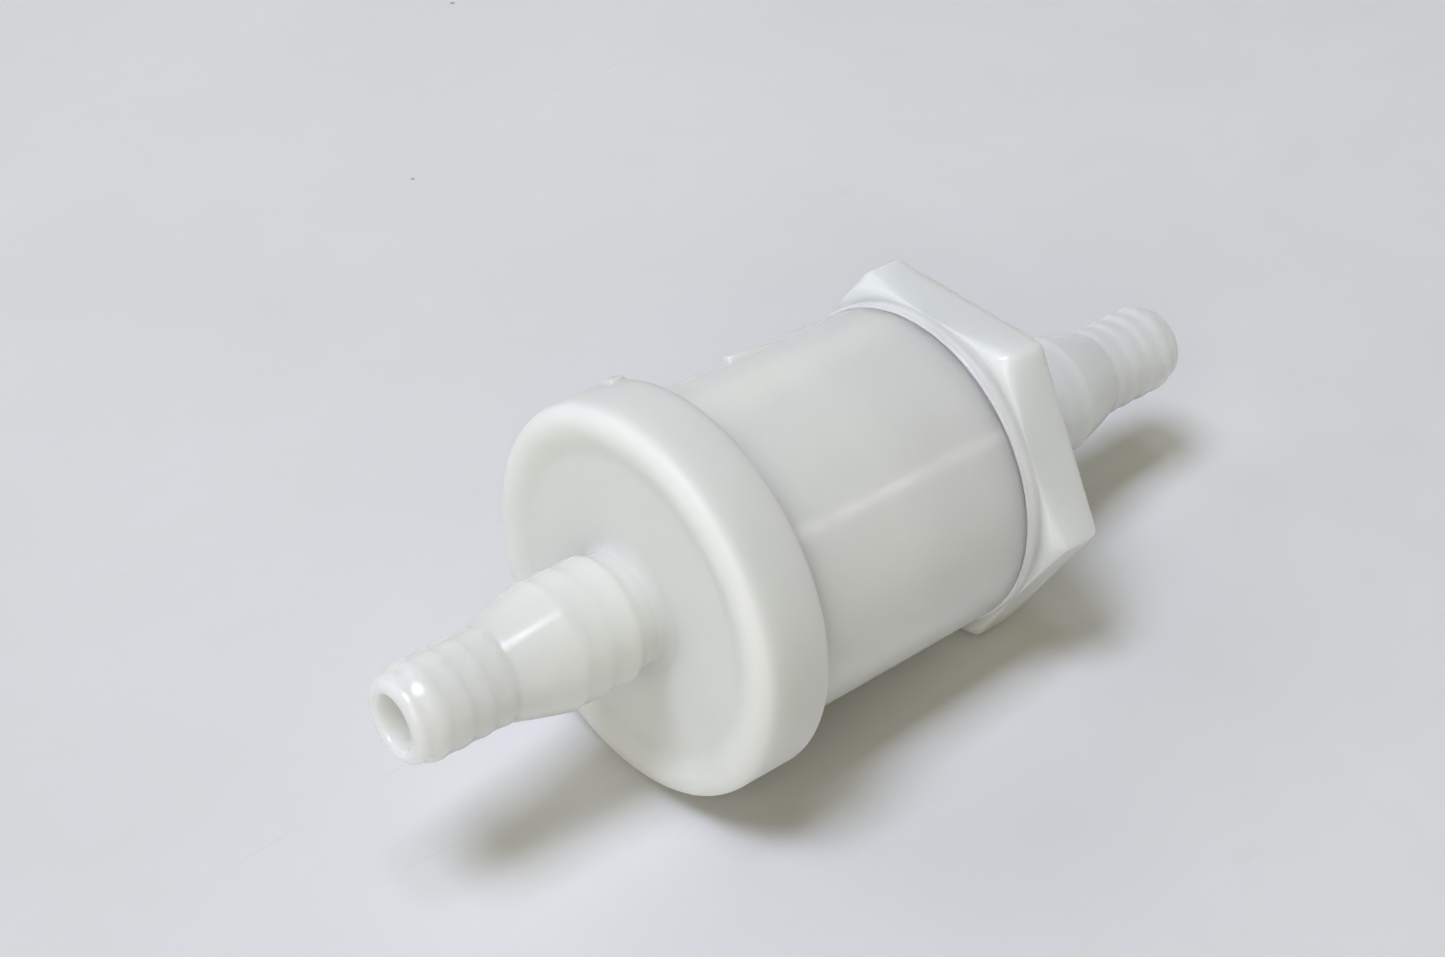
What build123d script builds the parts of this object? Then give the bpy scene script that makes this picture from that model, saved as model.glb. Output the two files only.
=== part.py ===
"""Inline hose-barb non-return valve in moulded nylon.

The axis of the valve is X. Water enters at the -X barb, lifts the sprung poppet off its
seat and leaves at the +X barb. The origin is on the axis at mid-length, +Z is up, and
the wrench hexagon has one flat facing up. All lengths are millimetres.
"""
import math
import os

from build123d import *

os.makedirs("parts", exist_ok=True)

# ---- driving dimensions ---------------------------------------------------------------
LENGTH = 110.8            # tip to tip
BORE_R = 3.0              # waterway through both barbs
FIT = 0.05                # clearance between pieces that are assembled together

# round cap and cylinder of the inlet body
BODY_R = 18.75
CAP_R = 22.0
CAP_REAR_X = -18.0
CAP_FRONT_X = -26.6
CAP_ROUND = 1.9           # rounding of the cap's front edge
FACE_SINK = 0.7           # the cap's face lies this far behind its rim
FACE_RIM_R = 19.8
FACE_R = 16.6

# hexagon and collar of the end cap
HEX_FLATS = 38.1          # wrench size, 1-1/2 in
HEX_FRONT_X = 15.6
HEX_REAR_X = 22.0
HEX_ROUND = 0.6           # rounding of the hexagon's edges
HEX_CHAMFER_R = 20.8      # the front corners are bevelled from this radius outwards
HEX_CHAMFER_ANGLE = 30.0
COLLAR_R = 19.02          # just inside the flats
COLLAR_ROUND = 0.7
COLLAR_FRONT_X = 13.8     # the body's open end closes on the collar here

# inside of the inlet body
CHAMBER_R = 15.0
CHAMBER_FRONT_X = -21.5
LEDGE_X = 0.0             # shoulder that the spring guide rests against
PORT_R = 6.0
PORT_X = -22.5
PORT_CONE = 5.0           # length of the cone from the bore to the port
SEAT_X = -19.0
SEAT_TOP_R = 7.2          # outer radius of the seat's narrow lip
SEAT_BASE_R = 8.0

# screw thread between the inlet body and the end cap
THREAD_PITCH = 2.5
THREAD_DATUM_X = 1.35    # turn 0 of the helix
MALE_TURNS = (0.8, 3.5)   # first and last turn of the end cap's ridge
FEMALE_TURNS = (0.0, 4.25)
MALE_ROOT_R = 15.45
MALE_CREST_R = 16.35
FEMALE_CREST_R = 15.65
FEMALE_ROOT_R = 16.65
ROOT_HALF = 0.75          # half width of the male ridge at its foot
CREST_HALF = 0.30
FLANK_FIT = 0.20          # the female groove is this much wider on each side

# ring seal behind the collar
SEAL_BORE_R = 16.8
SEAL_BORE_X = 10.8
GROOVE_R = 15.0
GROOVE_FRONT_X = 11.3
GROOVE_REAR_X = 13.3
SEAL_WIRE_R = 0.8

# inside of the end cap
SPIGOT_X = 2.0
CAVITY_R = 12.6
CAVITY_REAR_X = 15.5
CAVITY_CONE_X = 20.5

# hose barb, measured from its tip
TIP_R = 4.75
TIP_ROUND = 0.9
SMALL_CREST_R = 5.4       # for hose of 3/8 in bore
SMALL_VALLEY_R = 5.1
SMALL_FIRST = 3.3         # distance from the tip to the first crest
SMALL_PITCH = 2.65
SMALL_COUNT = 4
LARGE_CREST_R = 7.25      # for hose of 1/2 in bore
LARGE_VALLEY_R = 6.85
LARGE_FIRST = 18.6
LARGE_PITCH = 3.2
LARGE_COUNT = 3
CREST_LAND = 0.4
CREST_DROP = 0.6          # length of the step behind each crest
ROOT_R = 6.5
ROOT_FILLET = 1.6

# poppet
DISC_R = 10.5
DISC_FRONT_X = -17.4
DISC_REAR_X = -15.4
STEM_R = 2.0
STEM_END_X = 5.0
SEAL_R = 9.5
BOSS_R = 2.2              # the seal and washer centre on this boss
SCREW_R = 1.2
SCREW_HEAD_R = 2.4
SCREW_HEAD = 1.4
SCREW_LENGTH = 7.0
RECESS_WIDTH = 0.7
RECESS_LENGTH = 2.8
WASHER_R = 4.6
WASHER = 0.8

# spring and its guide
SPRING_R = 5.0
SPRING_WIRE_R = 0.4
SPRING_TURNS = 6.5
GUIDE_FIT = 0.06          # running clearance of the stem in its guide
HUB_R = 3.6
HUB_FRONT_X = -1.6
HUB_REAR_X = 4.4
GUIDE_THICKNESS = 1.9
GUIDE_RIM_R = 15.6
GUIDE_RIM_INNER_R = 13.2
SPOKE_WIDTH = 2.4
SPOKE_COUNT = 4

# marks that the mould leaves along its parting line
MARK_ANGLE = 60.0         # degrees from +Y towards +Z
GATE_X = -5.2
GATE_LENGTH = 6.6
GATE_HEIGHT = 0.9
GATE_WIDTH = 1.6
NUB_X = -19.2
NUB_LENGTH = 2.0
NUB_HEIGHT = 0.5

# ---- worked out from them -------------------------------------------------------------
TIP_X = LENGTH / 2
CAP_FACE_X = CAP_FRONT_X + FACE_SINK
HEX_CORNER_R = HEX_FLATS / math.sqrt(3)
HEX_CHAMFER = (HEX_CORNER_R - HEX_CHAMFER_R) * math.tan(math.radians(HEX_CHAMFER_ANGLE))
SEAL_RING_R = (GROOVE_R + SEAL_BORE_R) / 2
SEAL_FACE_X = SEAT_X + FIT
MARK_PLANE = Plane.XY.rotated((MARK_ANGLE, 0, 0))


def ridge(crest_at, crest_r, valley_r):
    """One barb ridge: a short land up to its crest, then a step down behind it."""
    return [(crest_at - CREST_LAND, crest_r), (crest_at, crest_r), (crest_at + CREST_DROP, valley_r)]


def barb_outline(x_of):
    """Outer outline of a barb from tip to root, where x_of turns a distance from the tip into X."""
    points = [(0.0, TIP_R - TIP_ROUND), (TIP_ROUND / 2, TIP_R - TIP_ROUND / 4), (TIP_ROUND, TIP_R)]
    for index in range(SMALL_COUNT):
        points += ridge(SMALL_FIRST + index * SMALL_PITCH, SMALL_CREST_R, SMALL_VALLEY_R)
    for index in range(LARGE_COUNT):
        last = index == LARGE_COUNT - 1
        points += ridge(LARGE_FIRST + index * LARGE_PITCH, LARGE_CREST_R, ROOT_R if last else LARGE_VALLEY_R)
    return [(x_of(along), radius) for along, radius in points]


def thread(first_turn, last_turn, inner_r, inner_half, outer_r, outer_half):
    """Right-hand helical ridge about X of trapezoidal section, between two turns counted from the datum."""
    length = (last_turn - first_turn) * THREAD_PITCH
    mean_r = (inner_r + outer_r) / 2
    half_height = (outer_r - inner_r) / 2
    path = Helix(THREAD_PITCH, length, mean_r, direction=(1, 0, 0))
    start = path @ 0
    radial = Vector(0, start.Y, start.Z).normalized()
    with BuildPart() as helical:
        with BuildSketch(Plane(origin=start, x_dir=radial, z_dir=path % 0)):
            with BuildLine():
                Polyline(
                    (-half_height, -inner_half),
                    (half_height, -outer_half),
                    (half_height, outer_half),
                    (-half_height, inner_half),
                    close=True,
                )
            make_face()
        sweep(path=path, is_frenet=True)
    placed = helical.part.rotate(Axis.X, 360 * first_turn)
    return placed.moved(Location((THREAD_DATUM_X + first_turn * THREAD_PITCH, 0, 0)))


flank_slope = (ROOT_HALF - CREST_HALF) / (MALE_CREST_R - MALE_ROOT_R)
MALE_FOOT_R = MALE_ROOT_R - 0.15
male_thread = thread(
    *MALE_TURNS, MALE_FOOT_R, ROOT_HALF + flank_slope * (MALE_ROOT_R - MALE_FOOT_R), MALE_CREST_R, CREST_HALF
)
FEMALE_MOUTH_R = FEMALE_CREST_R - 0.3
female_thread = thread(
    *FEMALE_TURNS,
    FEMALE_MOUTH_R,
    ROOT_HALF + FLANK_FIT + flank_slope * (MALE_ROOT_R - FEMALE_MOUTH_R),
    FEMALE_ROOT_R,
    CREST_HALF + FLANK_FIT - flank_slope * (FEMALE_ROOT_R - MALE_CREST_R),
)

# ---- inlet body: barb, round cap and cylinder in one moulding --------------------------
with BuildPart() as inlet_body:
    with BuildSketch():
        with BuildLine():
            barb = Polyline(*barb_outline(lambda along: along - TIP_X), (CAP_FACE_X - ROOT_FILLET, ROOT_R))
            root = RadiusArc(barb @ 1, (CAP_FACE_X, ROOT_R + ROOT_FILLET), -ROOT_FILLET)
            face = Polyline(
                root @ 1,
                (CAP_FACE_X, FACE_R),
                (CAP_FRONT_X, FACE_RIM_R),
                (CAP_FRONT_X, CAP_R - CAP_ROUND),
            )
            edge = RadiusArc(face @ 1, (CAP_FRONT_X + CAP_ROUND, CAP_R), CAP_ROUND)
            Polyline(
                edge @ 1,
                (CAP_REAR_X - 0.3, CAP_R),
                (CAP_REAR_X, CAP_R - 0.3),
                (CAP_REAR_X, BODY_R),
                (COLLAR_FRONT_X, BODY_R),
                (COLLAR_FRONT_X, SEAL_BORE_R + 0.4),
                (COLLAR_FRONT_X - 0.4, SEAL_BORE_R),
                (SEAL_BORE_X, SEAL_BORE_R),
                (SEAL_BORE_X, FEMALE_CREST_R),
                (LEDGE_X, FEMALE_CREST_R),
                (LEDGE_X, CHAMBER_R),
                (CHAMBER_FRONT_X, CHAMBER_R),
                (CHAMBER_FRONT_X, SEAT_BASE_R),
                (SEAT_X, SEAT_TOP_R),
                (SEAT_X, PORT_R + 0.5),
                (SEAT_X - 0.5, PORT_R),
                (PORT_X, PORT_R),
                (PORT_X - PORT_CONE, BORE_R),
                (-TIP_X, BORE_R),
                barb @ 0,
            )
        make_face()
    revolve(axis=Axis.X)
    # vestige of the gate, tapering away towards the hexagon
    with BuildSketch(MARK_PLANE):
        with BuildLine():
            Polyline(
                (GATE_X, BODY_R - GATE_HEIGHT),
                (GATE_X, BODY_R + GATE_HEIGHT),
                (GATE_X + GATE_LENGTH, BODY_R + GATE_HEIGHT / 10),
                (GATE_X + GATE_LENGTH, BODY_R - GATE_HEIGHT),
                close=True,
            )
        make_face()
    extrude(amount=GATE_WIDTH / 2, both=True)
    # nub on the cap's rim
    with BuildSketch(MARK_PLANE):
        with Locations((NUB_X, CAP_R)):
            Rectangle(NUB_LENGTH, 2 * NUB_HEIGHT)
    extrude(amount=NUB_LENGTH / 2, both=True)
    add(female_thread, mode=Mode.SUBTRACT)
inlet_body.part.label = "inlet_body"

# ---- end cap: hexagon, threaded spigot and outlet barb in one moulding -----------------
with BuildPart() as hex_end_cap:
    with BuildSketch(Plane.YZ.offset(HEX_FRONT_X)):
        RegularPolygon(HEX_CORNER_R, 6)
    extrude(amount=HEX_REAR_X - HEX_FRONT_X)
    fillet(edges().filter_by(Axis.X), HEX_ROUND)
    fillet(faces().sort_by(Axis.X)[-1].edges(), HEX_ROUND)
    # bevel on the hexagon's front corners
    with BuildSketch():
        with BuildLine():
            Polyline(
                (HEX_FRONT_X, 0),
                (HEX_FRONT_X, HEX_CHAMFER_R),
                (HEX_FRONT_X + HEX_CHAMFER, HEX_CORNER_R),
                (HEX_REAR_X, HEX_CORNER_R),
                (HEX_REAR_X, 0),
                close=True,
            )
        make_face()
    revolve(axis=Axis.X, mode=Mode.INTERSECT)
    # spigot, collar and outlet barb
    with BuildSketch():
        with BuildLine():
            barb = Polyline(*barb_outline(lambda along: TIP_X - along), (HEX_REAR_X + ROOT_FILLET, ROOT_R))
            root = RadiusArc(barb @ 1, (HEX_REAR_X, ROOT_R + ROOT_FILLET), ROOT_FILLET)
            back = Polyline(
                root @ 1,
                (HEX_REAR_X - 1.0, ROOT_R + ROOT_FILLET),
                (HEX_FRONT_X + 1.0, COLLAR_R - 1.0),
                (HEX_FRONT_X, COLLAR_R),
                (COLLAR_FRONT_X + FIT + COLLAR_ROUND, COLLAR_R),
            )
            shoulder = RadiusArc(back @ 1, (COLLAR_FRONT_X + FIT, COLLAR_R - COLLAR_ROUND), -COLLAR_ROUND)
            Polyline(
                shoulder @ 1,
                (COLLAR_FRONT_X + FIT, MALE_CREST_R),
                (GROOVE_REAR_X, MALE_CREST_R),
                (GROOVE_REAR_X, GROOVE_R),
                (GROOVE_FRONT_X, GROOVE_R),
                (GROOVE_FRONT_X, MALE_ROOT_R),
                (SPIGOT_X + FIT + 0.5, MALE_ROOT_R),
                (SPIGOT_X + FIT, MALE_ROOT_R - 0.5),
                (SPIGOT_X + FIT, CAVITY_R),
                (CAVITY_REAR_X, CAVITY_R),
                (CAVITY_CONE_X, BORE_R),
                (TIP_X, BORE_R),
                barb @ 0,
            )
        make_face()
    revolve(axis=Axis.X)
    # the hexagon's blank fills the waterway, so the cavity and bore are cut through it
    with BuildSketch():
        with BuildLine():
            Polyline(
                (SPIGOT_X, 0),
                (SPIGOT_X, CAVITY_R),
                (CAVITY_REAR_X, CAVITY_R),
                (CAVITY_CONE_X, BORE_R),
                (TIP_X, BORE_R),
                (TIP_X, 0),
                close=True,
            )
        make_face()
    revolve(axis=Axis.X, mode=Mode.SUBTRACT)
    add(male_thread)
hex_end_cap.part.label = "hex_end_cap"

# ---- ring seal in the groove behind the collar -----------------------------------------
with BuildPart() as body_seal_ring:
    with BuildSketch():
        with Locations(((GROOVE_FRONT_X + GROOVE_REAR_X) / 2, SEAL_RING_R)):
            Circle(SEAL_WIRE_R)
    revolve(axis=Axis.X)
body_seal_ring.part.label = "body_seal_ring"

# ---- poppet: disc, boss and stem in one moulding ---------------------------------------
with BuildPart() as valve_poppet:
    with BuildSketch():
        with BuildLine():
            Polyline(
                (SEAL_FACE_X, SCREW_R + FIT),
                (SEAL_FACE_X, BOSS_R),
                (DISC_FRONT_X, BOSS_R),
                (DISC_FRONT_X, DISC_R - 0.4),
                (DISC_FRONT_X + 0.4, DISC_R),
                (DISC_REAR_X - 0.4, DISC_R),
                (DISC_REAR_X, DISC_R - 0.4),
                (DISC_REAR_X, STEM_R + 0.8),
                (DISC_REAR_X + 0.8, STEM_R),
                (STEM_END_X - 0.5, STEM_R),
                (STEM_END_X, STEM_R - 0.5),
                (STEM_END_X, 0),
                (SEAL_FACE_X + SCREW_LENGTH + 0.5, 0),
                (SEAL_FACE_X + SCREW_LENGTH, SCREW_R + FIT),
                close=True,
            )
        make_face()
    revolve(axis=Axis.X)
valve_poppet.part.label = "valve_poppet"

# ---- flat rubber seal on the poppet's boss ---------------------------------------------
with BuildPart() as poppet_seal:
    with BuildSketch(Plane.YZ.offset(SEAL_FACE_X)):
        Circle(SEAL_R)
        Circle(BOSS_R + FIT, mode=Mode.SUBTRACT)
    extrude(amount=DISC_FRONT_X - SEAL_FACE_X)
    chamfer(edges().filter_by(GeomType.CIRCLE).group_by(SortBy.RADIUS)[-1], 0.2)
poppet_seal.part.label = "poppet_seal"

# ---- washer that clamps the seal -------------------------------------------------------
with BuildPart() as seal_clamp_washer:
    with BuildSketch(Plane.YZ.offset(SEAL_FACE_X - WASHER)):
        Circle(WASHER_R)
        Circle(SCREW_R + FIT, mode=Mode.SUBTRACT)
    extrude(amount=WASHER)
    chamfer(edges().filter_by(GeomType.CIRCLE).group_by(SortBy.RADIUS)[-1], 0.15)
seal_clamp_washer.part.label = "seal_clamp_washer"

# ---- pan-head screw with a cross recess ------------------------------------------------
head_front_x = SEAL_FACE_X - WASHER - SCREW_HEAD
with BuildPart() as poppet_screw:
    with BuildSketch(Plane.YZ.offset(head_front_x)):
        Circle(SCREW_HEAD_R)
    extrude(amount=SCREW_HEAD)
    fillet(edges().sort_by(Axis.X)[0], 0.6)
    with BuildSketch(Plane.YZ.offset(SEAL_FACE_X - WASHER)):
        Circle(SCREW_R)
    extrude(amount=WASHER + SCREW_LENGTH)
    chamfer(edges().sort_by(Axis.X)[-1], 0.4)
    with BuildSketch(Plane.YZ.offset(head_front_x)):
        Rectangle(RECESS_LENGTH, RECESS_WIDTH)
        Rectangle(RECESS_WIDTH, RECESS_LENGTH)
    extrude(amount=SCREW_HEAD / 2, mode=Mode.SUBTRACT)
poppet_screw.part.label = "poppet_screw"

# ---- compression spring between the poppet and the guide -------------------------------
spring_length = LEDGE_X - DISC_REAR_X - 2 * SPRING_WIRE_R - 2 * FIT
spring_start_x = DISC_REAR_X + SPRING_WIRE_R + FIT
spring_path = Helix(
    spring_length / SPRING_TURNS, spring_length, SPRING_R, center=(spring_start_x, 0, 0), direction=(1, 0, 0)
)
with BuildPart() as return_spring:
    with BuildSketch(Plane(origin=spring_path @ 0, z_dir=spring_path % 0)):
        Circle(SPRING_WIRE_R)
    sweep(path=spring_path, is_frenet=True)
return_spring.part.label = "return_spring"

# ---- spring guide: rim, spokes and the hub that the stem slides in ---------------------
with BuildPart() as spring_guide:
    with BuildSketch(Plane.YZ.offset(LEDGE_X + FIT)):
        Circle(GUIDE_RIM_R)
        Circle(GUIDE_RIM_INNER_R, mode=Mode.SUBTRACT)
        with PolarLocations((GUIDE_RIM_INNER_R + HUB_R) / 2, SPOKE_COUNT, start_angle=45):
            Rectangle(GUIDE_RIM_INNER_R - HUB_R + 1.0, SPOKE_WIDTH)
        Circle(HUB_R)
    extrude(amount=GUIDE_THICKNESS)
    with BuildSketch(Plane.YZ.offset(HUB_FRONT_X)):
        Circle(HUB_R)
    extrude(amount=HUB_REAR_X - HUB_FRONT_X)
    with BuildSketch(Plane.YZ.offset(HUB_FRONT_X)):
        Circle(STEM_R + GUIDE_FIT)
    extrude(amount=HUB_REAR_X - HUB_FRONT_X, mode=Mode.SUBTRACT)
spring_guide.part.label = "spring_guide"

# ---- one file for each piece -----------------------------------------------------------
pieces = [
    inlet_body,
    hex_end_cap,
    body_seal_ring,
    valve_poppet,
    poppet_seal,
    seal_clamp_washer,
    poppet_screw,
    return_spring,
    spring_guide,
]
for piece in pieces:
    export_step(piece.part, f"parts/{piece.part.label}.step")
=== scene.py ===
"""Looks of the inline hose-barb non-return valve: moulded nylon, seals, steel, floor, light and camera."""
import math

import bpy
from mathutils import Matrix, Vector


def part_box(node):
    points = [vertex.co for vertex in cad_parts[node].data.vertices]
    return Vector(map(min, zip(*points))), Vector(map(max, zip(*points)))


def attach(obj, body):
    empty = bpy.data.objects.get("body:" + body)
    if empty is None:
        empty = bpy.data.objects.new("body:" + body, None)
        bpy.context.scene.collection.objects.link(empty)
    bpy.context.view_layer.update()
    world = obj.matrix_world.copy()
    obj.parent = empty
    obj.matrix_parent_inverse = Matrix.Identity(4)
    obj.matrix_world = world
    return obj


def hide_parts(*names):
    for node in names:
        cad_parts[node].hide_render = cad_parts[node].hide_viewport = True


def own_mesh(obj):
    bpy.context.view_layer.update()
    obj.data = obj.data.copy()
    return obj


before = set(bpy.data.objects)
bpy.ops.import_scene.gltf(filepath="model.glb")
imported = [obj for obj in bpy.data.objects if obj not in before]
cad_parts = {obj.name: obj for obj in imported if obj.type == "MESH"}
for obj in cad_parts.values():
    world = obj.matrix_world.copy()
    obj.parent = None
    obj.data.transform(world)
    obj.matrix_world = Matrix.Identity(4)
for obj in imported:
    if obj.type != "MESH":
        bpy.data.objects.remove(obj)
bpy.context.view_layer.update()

MM = 0.001
TAU = 2 * math.pi

# ---- sizes shared with the CAD design, in millimetres -----------------------------------
TIP_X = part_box("hex_end_cap")[1][0] / MM
CAP_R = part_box("inlet_body")[1][2] / MM
COLLAR_FRONT_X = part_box("inlet_body")[1][0] / MM
BODY_R = 18.75
CAP_FRONT_X = -26.6
CAP_FACE_X = -25.9
CAP_REAR_X = -18.0
CAP_ROUND = 1.9
FACE_R = 16.6
FACE_RIM_R = 19.8
HEX_FRONT_X = 15.6
HEX_REAR_X = 22.0
HEX_INNER_R = 19.05
HEX_ROUND = 1.0
HEX_CHAMFER_R = 20.8
HEX_BEVEL_BLEND = 1.8
COLLAR_R = 19.02
COLLAR_ROUND = 0.26
SEAM = 0.01
MARK_ANGLE = math.radians(60.0)

# waterway and chamber inside the body
BORE_R = 3.0
PORT_R = 6.0
PORT_CONE_X = (-27.5, -22.5)
SEAT_X = -19.0
CHAMBER_R = 15.0
CHAMBER_FLOOR_X = -21.5
CHAMBER_ROUND = 1.0
SEAL_BORE_R = 16.8
SEAL_BORE_X = 10.8

# the end cap's spigot, its O-ring groove and the cavity in it
SPIGOT_R = 16.35
SPIGOT_END_X = 2.05
GROOVE_R = 15.0
GROOVE_X = (11.3, 13.3)
CAVITY_R = 12.6
CAVITY_CONE_X = (15.5, 20.5)

# thread: how far each helix stands out, half its width at the foot and top, first and last turn
THREAD_PITCH = 2.5
THREAD_DATUM_X = 1.35
THREAD_FADE_TURNS = 0.12
THREAD_STEP = 0.16
FEMALE_CREST_R = 15.65
FEMALE_GROOVE_DEPTH = 1.0
FEMALE_GROOVE = (0.85, 0.35, 0.0, 9.0)
MALE_ROOT_R = 15.45
MALE_RIDGE_HEIGHT = 0.9
MALE_RIDGE = (0.75, 0.30, 0.8, 3.5)


# ---- mesh tools -------------------------------------------------------------------------
def arc(cx, cr, radius, start, end, steps):
    """Points of a round stretch of an outline about (cx, cr), between two angles in degrees."""
    points = []
    for step in range(steps + 1):
        angle = math.radians(start + (end - start) * step / steps)
        points.append((cx + radius * math.cos(angle), cr + radius * math.sin(angle)))
    return points


def run(outline, longest):
    """The outline with points added so that no stretch is longer than the given length."""
    points = [outline[0]]
    for (x0, r0), (x1, r1) in zip(outline, outline[1:]):
        steps = max(1, math.ceil(math.hypot(x1 - x0, r1 - r0) / longest))
        for step in range(1, steps + 1):
            points.append((x0 + (x1 - x0) * step / steps, r0 + (r1 - r0) * step / steps))
    return points


def tagged(kind, points):
    return [(x, r, kind) for x, r in points]


def smoothstep(low, high, value):
    t = min(1.0, max(0.0, (value - low) / (high - low)))
    return t * t * (3 - 2 * t)


def angles_round(step, fine_at, fine_reach, fine_step):
    """Angles of a full turn, closer together near the given ones; all arguments in degrees."""
    values = {round(step * index, 3) for index in range(round(360 / step))}
    for centre in fine_at:
        count = round(fine_reach / fine_step)
        for index in range(-count, count + 1):
            values.add(round((centre + index * fine_step) % 360, 3))
    kept = []
    for value in sorted(values):
        if not kept or value - kept[-1] > 0.6 * fine_step:
            kept.append(value)
    return [math.radians(value) for value in kept]


def lathe(name, outline, shape, angles):
    """Closed mesh about X from a closed outline of (x, r, kind).

    shape gives each point's place at an angle.
    """
    vertices = []
    count = len(angles)
    for x, r, kind in outline:
        for angle in angles:
            px, pr = shape(x, r, kind, angle)
            vertices.append((px * MM, pr * math.cos(angle) * MM, pr * math.sin(angle) * MM))
    faces = []
    for ring in range(len(outline)):
        low, high = ring * count, (ring + 1) % len(outline) * count
        for step in range(count):
            beside = (step + 1) % count
            faces.append((low + step, high + step, high + beside, low + beside))
    return mesh_object(name, vertices, faces)


def mesh_object(name, vertices, faces):
    """Object of a closed mesh, with its faces turned outwards."""
    mesh = bpy.data.meshes.new(name)
    mesh.from_pydata(vertices, [], faces)
    mesh.update()
    volume = 0.0
    for polygon in mesh.polygons:
        corners = [mesh.vertices[index].co for index in polygon.vertices]
        for second, third in zip(corners[1:], corners[2:]):
            volume += corners[0].dot(second.cross(third))
    if volume < 0:
        mesh.flip_normals()
    mesh.shade_smooth()
    piece = bpy.data.objects.new(name, mesh)
    bpy.context.scene.collection.objects.link(piece)
    return piece


# ---- hose barb: lengths count from its tip ----------------------------------------------
TIP_ROUND = 1.1
TIP_FACE_R = 3.65
NOSE_R = 4.75
NOSE_END = 2.6
SMALL_FIRST, SMALL_PITCH, SMALL_END = 3.1, 2.65, 11.7
LARGE_FIRST, LARGE_PITCH, LARGE_END = 18.5, 3.2, 25.2
SMALL_VALLEY, SMALL_RISE = 5.17, 0.13
LARGE_VALLEY, LARGE_RISE = 7.03, 0.12
RIDGE_FALL = 0.36
TAPER_BULGE = 0.85
ROOT_R = 6.5
ROOT_FILLET = 1.6
ROOT_LENGTH = 1.8
TIP_STEP, BARB_STEP = 0.12, 0.22


def ridge_wave(phase):
    """0 to 1: falls quickly behind a crest at a whole phase, then rises slowly to the next."""
    t = phase - math.floor(phase)
    if t < RIDGE_FALL:
        return 1 - smoothstep(0.0, RIDGE_FALL, t)
    return smoothstep(RIDGE_FALL, 1.0, t)


def barb_radius(along):
    """Radius at a distance from the tip: soft ridges on two steps, with a taper between them."""
    if along < TIP_ROUND:
        return TIP_FACE_R + math.sqrt(max(0.0, TIP_ROUND ** 2 - (TIP_ROUND - along) ** 2))
    if along < SMALL_END:
        radius = SMALL_VALLEY + SMALL_RISE * ridge_wave((along - SMALL_FIRST) / SMALL_PITCH)
        return NOSE_R + (radius - NOSE_R) * smoothstep(TIP_ROUND, NOSE_END, along)
    if along < LARGE_FIRST:
        share = (along - SMALL_END) / (LARGE_FIRST - SMALL_END)
        return SMALL_VALLEY + (LARGE_VALLEY + LARGE_RISE - SMALL_VALLEY) * share ** TAPER_BULGE
    if along < LARGE_END:
        return LARGE_VALLEY + LARGE_RISE * ridge_wave((along - LARGE_FIRST) / LARGE_PITCH)
    crest = LARGE_VALLEY + LARGE_RISE * ridge_wave((LARGE_END - LARGE_FIRST) / LARGE_PITCH)
    return ROOT_R + (crest - ROOT_R) * (1 - smoothstep(LARGE_END, LARGE_END + ROOT_LENGTH, along))


def barb_points(root_along):
    """Outline of a barb from its bore's rim to its root, as (distance from the tip, radius)."""
    points = [(0.5, BORE_R), (0.2, BORE_R + 0.08), (0.04, BORE_R + 0.28), (0.0, BORE_R + 0.5)]
    along = 0.02
    while along < root_along:
        points.append((along, barb_radius(along)))
        along += TIP_STEP if along < TIP_ROUND else BARB_STEP
    points.append((root_along, ROOT_R))
    return points


# ---- shapes that depend on the angle ----------------------------------------------------
def thread_height(x, angle, foot_half, top_half, first_turn, last_turn):
    """0 to 1: height of a helical ridge of trapezoidal section that fades at its two ends."""
    turn = (x - THREAD_DATUM_X) / THREAD_PITCH - angle / TAU
    offset = (turn - round(turn)) * THREAD_PITCH
    centre_turn = (x - offset - THREAD_DATUM_X) / THREAD_PITCH
    fade = smoothstep(first_turn, first_turn + THREAD_FADE_TURNS, centre_turn)
    fade *= 1 - smoothstep(last_turn - THREAD_FADE_TURNS, last_turn, centre_turn)
    return fade * min(1.0, max(0.0, (foot_half - abs(offset)) / (foot_half - top_half)))


SEAM_LINE_HEIGHT, SEAM_LINE_HALF = 0.05, 0.16
GATE_X, GATE_LENGTH, GATE_HEIGHT, GATE_HALF = -5.2, 6.6, 0.88, 0.8
GATE_TAPER = 0.9
NUB_X, NUB_HALF, NUB_HEIGHT = -19.2, 1.0, 0.48
BODY_DRAFT = 0.2


def seam_height(r, angle):
    """Fine raised line that the mould's two halves leave."""
    distance = abs(math.remainder(angle - MARK_ANGLE, math.pi)) * r
    return SEAM_LINE_HEIGHT * math.exp(-((distance / SEAM_LINE_HALF) ** 2))


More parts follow.
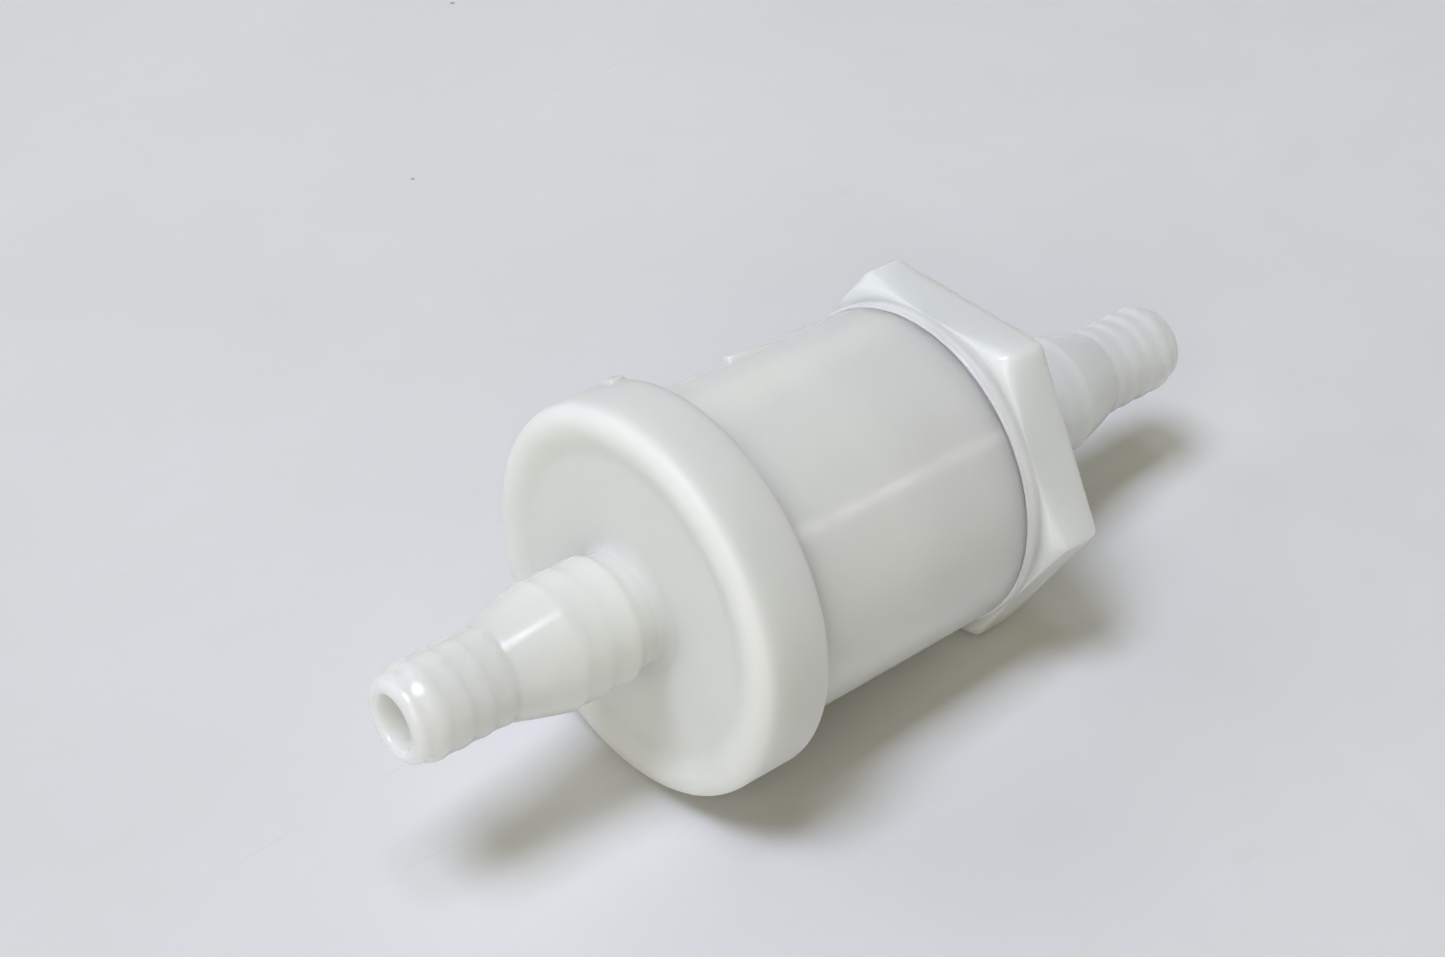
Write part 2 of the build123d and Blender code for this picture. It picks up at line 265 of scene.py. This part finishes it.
def body_shape(x, r, kind, angle):
    """The thread inside; outside, the cylinder's draft, the gate's mark and the nub on the rim."""
    if kind == "thread":
        return x, r + FEMALE_GROOVE_DEPTH * thread_height(x, angle, *FEMALE_GROOVE)
    if kind != "outer":
        return x, r
    if BODY_R - 0.01 < r < CAP_R - 1 and x > CAP_REAR_X:
        r += BODY_DRAFT * (COLLAR_FRONT_X - x) / (COLLAR_FRONT_X - CAP_REAR_X)
    bump = seam_height(r, angle)
    distance = abs(math.remainder(angle - MARK_ANGLE, TAU)) * r
    along = (x - GATE_X) / GATE_LENGTH
    if 0 <= along <= 1 and r < CAP_R - 1 and r > BODY_R - 0.5:
        side = 1 - smoothstep(GATE_HALF - 0.25, GATE_HALF + 0.1, distance)
        front = smoothstep(0.0, 0.04, along)
        bump = max(bump, side * (GATE_HEIGHT * (1 - GATE_TAPER * along) * front))
    if r > CAP_R - 0.3 and abs(x - NUB_X) < NUB_HALF + 0.1:
        side = 1 - smoothstep(NUB_HALF - 0.2, NUB_HALF + 0.1, distance)
        ends = 1 - smoothstep(NUB_HALF - 0.2, NUB_HALF + 0.1, abs(x - NUB_X))
        bump = max(bump, NUB_HEIGHT * side * ends)
    return x, r + bump


def hexagon_r(angle):
    """Radius of the hexagon with rounded corners, one flat up."""
    from_flat = abs(math.remainder(angle - math.pi / 2, TAU / 6))
    tangent = math.atan((HEX_INNER_R - HEX_ROUND) * math.tan(TAU / 12) / HEX_INNER_R)
    if from_flat < tangent:
        return HEX_INNER_R / math.cos(from_flat)
    centre = (HEX_INNER_R - HEX_ROUND) / math.cos(TAU / 12)
    across = centre * math.sin(TAU / 12 - from_flat)
    return centre * math.cos(TAU / 12 - from_flat) + math.sqrt(HEX_ROUND ** 2 - across ** 2)


def soft_min(a, b, width):
    """The smaller of two values, rounded where they cross."""
    share = max(width - abs(a - b), 0.0) / width
    return min(a, b) - share * share * width / 4


def end_cap_shape(x, r, kind, angle):
    """The thread on the spigot, the hexagon with its bevelled front corners, and the seam line."""
    if kind == "thread":
        return x, r + MALE_RIDGE_HEIGHT * thread_height(x, angle, *MALE_RIDGE)
    if kind == "flank":
        # r is how far the point lies inside the hexagon's outline
        bevel = HEX_CHAMFER_R + (x - HEX_FRONT_X) * math.sqrt(3)
        return x, soft_min(hexagon_r(angle) - r, bevel, HEX_BEVEL_BLEND)
    if kind == "rear":
        # r runs from 0 at the barb's root to 1 at the hexagon's rounded edge
        inner = ROOT_R + ROOT_FILLET
        return x, inner + r * (hexagon_r(angle) - HEX_ROUND - inner)
    if kind == "outer":
        return x, r + seam_height(r, angle)
    return x, r


# ---- inlet body: barb, round cap and cylinder -------------------------------------------
def inlet_body_outline():
    """From the barb's tip over the outside to the open end, then back through the inside."""
    outside = [(along - TIP_X, r) for along, r in barb_points(CAP_FACE_X - ROOT_FILLET + TIP_X)]
    outside += arc(CAP_FACE_X - ROOT_FILLET, ROOT_R + ROOT_FILLET, ROOT_FILLET, -90, 0, 8)[1:]
    outside += run([outside[-1], (CAP_FACE_X, FACE_R - 0.2)], 1.0)[1:]
    # the sunk face rises softly to the rim
    for index in range(1, 17):
        share = index / 16
        rise = (CAP_FACE_X - CAP_FRONT_X) * smoothstep(0.0, 1.0, share)
        outside.append((CAP_FACE_X - rise, FACE_R + (FACE_RIM_R - FACE_R) * share))
    outside += arc(CAP_FRONT_X + CAP_ROUND, CAP_R - CAP_ROUND, CAP_ROUND, 180, 90, 14)
    outside += run([outside[-1], (CAP_REAR_X - 0.3, CAP_R)], 0.25)[1:]
    outside += arc(CAP_REAR_X - 0.3, CAP_R - 0.3, 0.3, 90, 0, 5)[1:]
    outside += run([outside[-1], (CAP_REAR_X, BODY_R + 0.6)], 0.6)[1:]
    outside += arc(CAP_REAR_X + 0.6, BODY_R + 0.6, 0.6, 180, 270, 6)[1:]
    outside += run([outside[-1], (COLLAR_FRONT_X - 0.03, BODY_R)], 0.3)[1:]
    outside.append((COLLAR_FRONT_X, BODY_R - 0.03))
    mouth = [
        outside[-1],
        (COLLAR_FRONT_X, SEAL_BORE_R + 0.4),
        (COLLAR_FRONT_X - 0.4, SEAL_BORE_R),
        (SEAL_BORE_X, SEAL_BORE_R),
        (SEAL_BORE_X, FEMALE_CREST_R + 0.1),
    ]
    threaded = run([(SEAL_BORE_X - 0.01, FEMALE_CREST_R), (0.05, FEMALE_CREST_R)], THREAD_STEP)
    corner_x = CHAMBER_FLOOR_X + CHAMBER_ROUND
    chamber = [
        (0.0, FEMALE_CREST_R - 0.05),
        (0.0, CHAMBER_R + 0.05),
        (-0.05, CHAMBER_R),
        (corner_x, CHAMBER_R),
    ]
    seat = arc(corner_x, CHAMBER_R - CHAMBER_ROUND, CHAMBER_ROUND, 90, 180, 6)
    seat += [(CHAMBER_FLOOR_X, 8.0), (SEAT_X - 0.05, 7.25), (SEAT_X, 7.15), (SEAT_X, 6.5)]
    port = [
        (SEAT_X - 0.1, 6.3),
        (SEAT_X - 0.5, PORT_R),
        (PORT_CONE_X[1], PORT_R),
        (PORT_CONE_X[0], BORE_R),
        (-TIP_X + 1.0, BORE_R),
    ]
    return (
        tagged("outer", outside)
        + tagged("inner", run(mouth, 1.0)[1:])
        + tagged("thread", threaded)
        + tagged("inner", run(chamber, 2.0) + seat + run(port, 3.0))
    )


# ---- hexagonal end cap ------------------------------------------------------------------
def end_cap_outline():
    """From the barb's tip over the hexagon and collar, then along the spigot and back inside."""
    barb = [(TIP_X - along, r) for along, r in barb_points(TIP_X - HEX_REAR_X - ROOT_FILLET)]
    barb += arc(HEX_REAR_X + ROOT_FILLET, ROOT_R + ROOT_FILLET, ROOT_FILLET, 270, 180, 8)[1:]
    rear = [(HEX_REAR_X, index / 10) for index in range(1, 11)]
    edge = []
    for index in range(1, 6):
        angle = math.radians(index * 18)
        inward = HEX_ROUND * (1 - math.sin(angle))
        edge.append((HEX_REAR_X - HEX_ROUND * (1 - math.cos(angle)), inward))
    flank = edge + run([(HEX_REAR_X - HEX_ROUND - 0.2, 0.0), (HEX_FRONT_X, 0.0)], 0.16)
    collar_x = COLLAR_FRONT_X + SEAM
    collar = [(HEX_FRONT_X - 0.02, COLLAR_R + 0.03), (HEX_FRONT_X - 0.12, COLLAR_R)]
    collar += arc(collar_x + COLLAR_ROUND, COLLAR_R - COLLAR_ROUND, COLLAR_ROUND, 90, 180, 8)
    spigot = [
        (collar_x, SPIGOT_R),
        (GROOVE_X[1], SPIGOT_R),
        (GROOVE_X[1], GROOVE_R),
        (GROOVE_X[0], GROOVE_R),
        (GROOVE_X[0], MALE_ROOT_R - 0.05),
    ]
    threaded = run([(GROOVE_X[0] - 0.05, MALE_ROOT_R), (SPIGOT_END_X + 0.5, MALE_ROOT_R)], THREAD_STEP)
    inside = [
        (SPIGOT_END_X, MALE_ROOT_R - 0.5),
        (SPIGOT_END_X, CAVITY_R),
        (CAVITY_CONE_X[0], CAVITY_R),
        (CAVITY_CONE_X[1], BORE_R),
        (TIP_X - 1.0, BORE_R),
    ]
    return (
        tagged("outer", barb)
        + tagged("rear", rear)
        + tagged("flank", flank)
        + tagged("inner", collar + run([collar[-1]] + spigot, 0.8)[1:])
        + tagged("thread", threaded)
        + tagged("inner", run(inside, 2.0))
    )


mark_degrees = [math.degrees(MARK_ANGLE), math.degrees(MARK_ANGLE) + 180]
body_angles = angles_round(2.0, mark_degrees, 3.0, 0.3)
hex_angles = angles_round(2.0, mark_degrees + [60 * index for index in range(6)], 1.5, 0.3)

inlet_body = lathe("inlet_body_moulding", inlet_body_outline(), body_shape, body_angles)
hex_end_cap = lathe("hex_end_cap_moulding", end_cap_outline(), end_cap_shape, hex_angles)


# ---- materials --------------------------------------------------------------------------
class Shader:
    """One procedural material, built node by node in object space."""

    def __init__(self, name):
        self.material = bpy.data.materials.new(name)
        self.material.use_nodes = True
        self.tree = self.material.node_tree
        self.surface = self.tree.nodes["Principled BSDF"]
        self.place = self.add("ShaderNodeTexCoord").outputs["Object"]

    def add(self, kind, **settings):
        node = self.tree.nodes.new(kind)
        for key, value in settings.items():
            setattr(node, key, value)
        return node

    def link(self, output, target):
        self.tree.links.new(output, target)

    def scaled(self, stretch):
        """The place, stretched by a different amount along each axis."""
        mapping = self.add("ShaderNodeMapping")
        mapping.inputs["Scale"].default_value = stretch
        self.link(self.place, mapping.inputs["Vector"])
        return mapping.outputs["Vector"]

    def along_x(self):
        """How far along the object's axis a point lies, in metres."""
        split = self.add("ShaderNodeSeparateXYZ")
        self.link(self.place, split.inputs["Vector"])
        return split.outputs["X"]

    def times(self, first, second):
        node = self.add("ShaderNodeMath", operation="MULTIPLY")
        self.link(first, node.inputs[0])
        self.link(second, node.inputs[1])
        return node.outputs[0]

    def band(self, start, end, fade):
        """1 between two places along the axis and 0 beyond them, all in millimetres."""
        along = self.along_x()
        rise = self.ramp(along, (start - fade) * MM, start * MM)
        return self.times(rise, self.ramp(along, (end + fade) * MM, end * MM))

    def noise(self, scale, detail=4.0, rough=0.5, place=None):
        node = self.add("ShaderNodeTexNoise")
        node.inputs["Scale"].default_value = scale
        node.inputs["Detail"].default_value = detail
        node.inputs["Roughness"].default_value = rough
        self.link(place or self.place, node.inputs["Vector"])
        return node.outputs["Fac"]

    def ramp(self, value, low, high, low_out=0.0, high_out=1.0):
        node = self.add("ShaderNodeMapRange")
        for key, number in zip(("From Min", "From Max", "To Min", "To Max"), (low, high, low_out, high_out)):
            node.inputs[key].default_value = number
        self.link(value, node.inputs["Value"])
        return node.outputs["Result"]

    def mixed(self, factor, first, second):
        """Colour between two colours, each a tuple or another node's output."""
        node = self.add("ShaderNodeMix", data_type="RGBA")
        self.link(factor, node.inputs["Factor"])
        for name, colour in (("A", first), ("B", second)):
            socket = next(s for s in node.inputs if s.name == name and s.type == "RGBA")
            if isinstance(colour, tuple):
                socket.default_value = (*colour, 1.0)
            else:
                self.link(colour, socket)
        return next(s for s in node.outputs if s.type == "RGBA")

    def specks(self, scale, size, share):
        """1 in a few small round spots, 0 elsewhere."""
        node = self.add("ShaderNodeTexVoronoi")
        node.inputs["Scale"].default_value = scale
        self.link(self.place, node.inputs["Vector"])
        near = self.ramp(node.outputs["Distance"], size, size * 0.6)
        split = self.add("ShaderNodeSeparateColor")
        self.link(node.outputs["Color"], split.inputs["Color"])
        chosen = self.add("ShaderNodeMath", operation="LESS_THAN")
        self.link(split.outputs["Red"], chosen.inputs[0])
        chosen.inputs[1].default_value = share
        return self.times(near, chosen.outputs[0])

    def bump(self, height, distance, strength=1.0, after=None):
        node = self.add("ShaderNodeBump")
        node.inputs["Distance"].default_value = distance
        node.inputs["Strength"].default_value = strength
        self.link(height, node.inputs["Height"])
        if after:
            self.link(after, node.inputs["Normal"])
        return node.outputs["Normal"]

    def set(self, **values):
        for key, value in values.items():
            self.surface.inputs[key.replace("_", " ")].default_value = value

    def finish(self, colour=None, roughness=None, normal=None):
        for key, value in (("Base Color", colour), ("Roughness", roughness), ("Normal", normal)):
            if value:
                self.link(value, self.surface.inputs[key])
        return self.material


def nylon(name, light, dark, depth, ripple):
    """Natural nylon: cloudy, waxy and translucent, with faint flow lines, a few dirt specks, painted shade
    on the cap's rim and a painted glow at the joint.
    """
    shader = Shader(name)
    cloud = shader.noise(90.0, 5.0, 0.55)
    flow = shader.noise(60.0, 3.0, 0.5, shader.scaled((0.35, 1.6, 1.6)))
    colour = shader.mixed(shader.ramp(cloud, 0.35, 0.7), light, dark)
    colour = shader.mixed(shader.ramp(flow, 0.5, 0.75, 0.0, 0.35), colour, dark)
    # painted shade: the cap's thick rim is coloured a little darker than the walls, standing in for the
    # dimmer light it shows
    rim_painted_shade = shader.band(CAP_FACE_X + 0.7, CAP_REAR_X, 0.6)
    colour = shader.mixed(shader.ramp(rim_painted_shade, 0.0, 1.0, 0.0, 0.7), colour, (0.61, 0.62, 0.59))
    # painted light: where the two mouldings meet the colour is paler, a painted glow standing in for the
    # light that leaves each of them through the joint's faces
    joint_painted_glow = shader.band(COLLAR_FRONT_X - 0.1, COLLAR_FRONT_X + 0.5, 0.8)
    colour = shader.mixed(joint_painted_glow, colour, (0.95, 0.95, 0.92))
    colour = shader.mixed(shader.specks(160.0, 0.022, 0.03), colour, (0.16, 0.15, 0.12))
    polish = shader.ramp(shader.noise(220.0, 4.0), 0.3, 0.7, 0.18, 0.27)
    duller = shader.ramp(shader.band(CAP_FRONT_X - 0.2, CAP_REAR_X, 0.5), 0.0, 1.0, 1.0, 2.6)
    roughness = shader.times(polish, duller)
    normal = shader.bump(shader.noise(150.0, 2.0, 0.4, shader.scaled((0.5, 1.0, 1.0))), 0.00020, ripple)
    normal = shader.bump(shader.noise(2500.0, 3.0), 0.000012, 0.5, normal)
    shader.set(
        Subsurface_Weight=1.0,
        Subsurface_Radius=(1.0, 1.0, 0.96),
        Subsurface_Scale=depth,
        Subsurface_Anisotropy=0.2,
        IOR=1.50,
    )
    return shader.finish(colour, roughness, normal)


def acetal():
    """Internal mouldings: a denser, creamier plastic with a fine spark-eroded grain."""
    shader = Shader("acetal_cream")
    cloud = shader.ramp(shader.noise(120.0), 0.35, 0.7)
    colour = shader.mixed(cloud, (0.80, 0.79, 0.73), (0.70, 0.69, 0.62))
    roughness = shader.ramp(shader.noise(900.0, 3.0), 0.3, 0.7, 0.38, 0.52)
    normal = shader.bump(shader.noise(3000.0, 3.0), 0.00002, 0.6)
    shader.set(Subsurface_Weight=0.35, Subsurface_Radius=(1.0, 0.9, 0.7), Subsurface_Scale=0.0012)
    return shader.finish(colour, roughness, normal)


def rubber():
    """Black nitrile rubber with a bloom and fine moulding texture."""
    shader = Shader("nitrile_black")
    bloom = shader.ramp(shader.noise(160.0, 6.0, 0.6), 0.4, 0.8, 0.0, 0.6)
    colour = shader.mixed(bloom, (0.016, 0.016, 0.017), (0.055, 0.055, 0.058))
    roughness = shader.ramp(shader.noise(700.0, 3.0), 0.3, 0.7, 0.50, 0.68)
    normal = shader.bump(shader.noise(4000.0, 3.0), 0.00002, 0.7)
    return shader.finish(colour, roughness, normal)


def stainless():
    """Drawn and turned stainless steel with fine lines and slight tarnish."""
    shader = Shader("stainless_steel")
    lines = shader.noise(600.0, 4.0, 0.6, shader.scaled((12.0, 1.0, 1.0)))
    tarnish = shader.ramp(shader.noise(200.0, 4.0), 0.4, 0.8)
    colour = shader.mixed(tarnish, (0.62, 0.61, 0.59), (0.47, 0.45, 0.42))
    roughness = shader.ramp(lines, 0.3, 0.7, 0.22, 0.38)
    normal = shader.bump(lines, 0.00001, 0.6)
    shader.set(Metallic=1.0)
    return shader.finish(colour, roughness, normal)


def hairlines(shader, turn, scale, strength):
    """Straight thin scratches that run at an angle across the floor and fade in and out."""
    mapping = shader.add("ShaderNodeMapping")
    mapping.inputs["Rotation"].default_value = (0.0, 0.0, turn)
    mapping.inputs["Scale"].default_value = (0.04, 1.0, 1.0)
    shader.link(shader.place, mapping.inputs["Vector"])
    along = shader.noise(scale, 0.0, 0.5, mapping.outputs["Vector"])
    middle = shader.add("ShaderNodeMath", operation="SUBTRACT")
    shader.link(along, middle.inputs[0])
    middle.inputs[1].default_value = 0.5
    size = shader.add("ShaderNodeMath", operation="ABSOLUTE")
    shader.link(middle.outputs[0], size.inputs[0])
    line = shader.ramp(size.outputs[0], 0.0016, 0.0)
    return shader.times(line, shader.ramp(shader.noise(38.0, 3.0), 0.55, 0.68, 0.0, strength))


def tabletop():
    """Pale laminate with worn scratches, dust specks and soft stains."""
    shader = Shader("floor_pale")
    stain = shader.ramp(shader.noise(14.0, 6.0, 0.6), 0.35, 0.75)
    colour = shader.mixed(stain, (0.66, 0.66, 0.66), (0.62, 0.62, 0.615))
    for turn, scale, strength in ((0.35, 26.0, 0.30), (-0.62, 34.0, 0.22), (1.25, 30.0, 0.22)):
        colour = shader.mixed(hairlines(shader, turn, scale, strength), colour, (0.38, 0.36, 0.34))
    colour = shader.mixed(shader.specks(110.0, 0.05, 0.03), colour, (0.30, 0.27, 0.25))
    roughness = shader.ramp(shader.noise(120.0, 5.0), 0.3, 0.7, 0.45, 0.60)
    return shader.finish(colour, roughness, shader.bump(shader.noise(900.0, 4.0), 0.00003, 0.4))


body_nylon = nylon("nylon_body", (0.69, 0.70, 0.66), (0.67, 0.68, 0.635), 0.008, 0.25)
cap_nylon = nylon("nylon_cap", (0.67, 0.69, 0.67), (0.655, 0.67, 0.645), 0.008, 0.18)
cream = acetal()
black = rubber()
steel = stainless()

for piece, node, body, material, slot in (
    (inlet_body, "inlet_body", "housing", body_nylon, "nylon_body"),
    (hex_end_cap, "hex_end_cap", "end_cap", cap_nylon, "nylon_cap"),
):
    piece.data.materials.append(material)
    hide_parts(node)
    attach(piece, body)

for node, material in (
    ("body_seal_ring", black),
    ("valve_poppet", cream),
    ("poppet_seal", black),
    ("seal_clamp_washer", steel),
    ("poppet_screw", steel),
    ("spring_guide", cream),
):
    for material_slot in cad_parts[node].material_slots:
        material_slot.material = material


# ---- return spring: round wire with closed ends -----------------------------------------
SPRING_R, WIRE_R = 5.0, 0.4
SPRING_FRONT_X, SPRING_REAR_X = -15.4, 0.0


def spring_mesh():
    """Tube along a helix whose first and last turn lie close."""
    turns, around, per_turn = 7.5, 12, 40
    first = SPRING_FRONT_X + WIRE_R + 0.05
    last = SPRING_REAR_X - WIRE_R - 0.05
    closed = 2 * WIRE_R * 1.02
    steps = round(turns * per_turn)
    centres = []
    for step in range(steps + 1):
        turn = turns * step / steps
        if turn < 1:
            x = first + closed * turn ** 2
        elif turn > turns - 1:
            x = last - closed * (turns - turn) ** 2
        else:
            share = (turn - 1) / (turns - 2)
            x = first + closed + (last - first - 2 * closed) * share
        centres.append(Vector((x, SPRING_R * math.cos(TAU * turn), SPRING_R * math.sin(TAU * turn))))
    vertices, faces = [], []
    for index, centre in enumerate(centres):
        before, after = centres[max(index - 1, 0)], centres[min(index + 1, steps)]
        tangent = (after - before).normalized()
        radial = Vector((0, centre.y, centre.z)).normalized()
        side = tangent.cross(radial).normalized()
        for step in range(around):
            angle = TAU * step / around
            vertices.append((centre + WIRE_R * (math.cos(angle) * radial + math.sin(angle) * side)) * MM)
    for index in range(steps):
        low, high = index * around, (index + 1) * around
        for step in range(around):
            beside = (step + 1) % around
            faces.append((low + step, high + step, high + beside, low + beside))
    faces.append(tuple(range(around)))
    faces.append(tuple(steps * around + step for step in reversed(range(around))))
    return mesh_object("return_spring_wire", vertices, faces)


spring = spring_mesh()
spring.data.materials.append(steel)
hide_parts("return_spring")
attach(spring, "housing")
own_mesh(spring)

# ---- floor: touches the cap's rear rim and the hexagon's rear edge ----------------------
rim_point = Vector((CAP_REAR_X - 0.3, 0, -CAP_R)) * MM
edge_point = Vector((HEX_REAR_X - HEX_ROUND, 0, -HEX_INNER_R)) * MM
slope = math.atan2(edge_point.z - rim_point.z, edge_point.x - rim_point.x)
HALF_FLOOR = 1.2
floor_mesh = bpy.data.meshes.new("floor")
corners = [(x * HALF_FLOOR, y * HALF_FLOOR, 0) for x, y in ((-1, -1), (1, -1), (1, 1), (-1, 1))]
floor_mesh.from_pydata(corners, [], [(0, 1, 2, 3)])
floor = bpy.data.objects.new("floor", floor_mesh)
floor.matrix_world = Matrix.Translation(rim_point) @ Matrix.Rotation(-slope, 4, "Y")
floor_mesh.materials.append(tabletop())
bpy.context.scene.collection.objects.link(floor)


# ---- light ------------------------------------------------------------------------------
def area_light(name, direction, distance, size, power, colour):
    """Square light that faces the origin from a direction; size and distance in metres."""
    lamp = bpy.data.lights.new(name, "AREA")
    lamp.size = size
    lamp.energy = power
    lamp.color = colour
    holder = bpy.data.objects.new(name, lamp)
    toward = Vector(direction).normalized()
    holder.location = toward * distance
    holder.rotation_euler = toward.to_track_quat("Z", "Y").to_euler()
    bpy.context.scene.collection.objects.link(holder)


# name, direction, distance, size, power and colour
LIGHTS = (
    ("ceiling_lamp", (-0.1, -0.1, 1.0), 2.4, 0.4, 6.5, (0.82, 0.9, 1.0)),
    ("ceiling_panel", (-0.4, 0.0, 0.9), 2.4, 0.8, 42.0, (0.77, 0.81, 1.0)),
    ("front_left_panel", (-0.7, -0.5, 0.5), 2.4, 1.4, 18.0, (1.0, 0.96, 0.8)),
    ("front_panel", (-0.1, -0.9, 0.3), 2.4, 1.4, 1.0, (1.0, 0.95, 0.6)),
    ("back_left_panel", (-0.5, 0.6, 0.6), 2.4, 1.4, 10.0, (0.85, 0.9, 1.0)),
    ("back_right_panel", (0.4, 0.8, 0.5), 2.4, 1.4, 5.0, (0.9, 1.0, 0.8)),
    ("streak_window", (0.6, -0.64, 0.48), 3.2, 0.08, 1.8, (1.0, 1.0, 1.0)),
)
for light in LIGHTS:
    area_light(*light)

# the room: pale at eye level, dim and warm above
world = bpy.data.worlds.new("room")
world.use_nodes = True
room = world.node_tree
split = room.nodes.new("ShaderNodeSeparateXYZ")
room.links.new(room.nodes.new("ShaderNodeTexCoord").outputs["Generated"], split.inputs["Vector"])
climb = room.nodes.new("ShaderNodeValToRGB")
climb.color_ramp.elements[0].position = 0.12
climb.color_ramp.elements[0].color = (0.56, 0.56, 0.57, 1.0)
climb.color_ramp.elements[1].position = 0.35
climb.color_ramp.elements[1].color = (0.11, 0.09, 0.03, 1.0)
room.links.new(split.outputs["Z"], climb.inputs["Fac"])
room.links.new(climb.outputs["Color"], room.nodes["Background"].inputs["Color"])
bpy.context.scene.world = world
bpy.context.scene.view_settings.view_transform = "Standard"

# ---- camera -----------------------------------------------------------------------------
CAMERA_AZIMUTH = math.radians(-42.0)
CAMERA_ELEVATION = math.radians(35.7)
CAMERA_ROLL = math.radians(2.1)
CAMERA_DISTANCE = 0.272
CAMERA_LENS = 62.3
CAMERA_TARGET = Vector((-6.2, 8.1, 2.7)) * MM

back = Vector(
    (
        math.sin(CAMERA_AZIMUTH) * math.cos(CAMERA_ELEVATION),
        -math.cos(CAMERA_AZIMUTH) * math.cos(CAMERA_ELEVATION),
        math.sin(CAMERA_ELEVATION),
    )
)
camera_data = bpy.data.cameras.new("camera")
camera_data.sensor_width = 36.0
camera_data.lens = CAMERA_LENS
camera_data.clip_start = 0.01
camera = bpy.data.objects.new("camera", camera_data)
turn = back.to_track_quat("Z", "Y").to_matrix().to_4x4() @ Matrix.Rotation(CAMERA_ROLL, 4, "Z")
camera.matrix_world = Matrix.Translation(CAMERA_TARGET + back * CAMERA_DISTANCE) @ turn
bpy.context.scene.collection.objects.link(camera)
bpy.context.scene.camera = camera
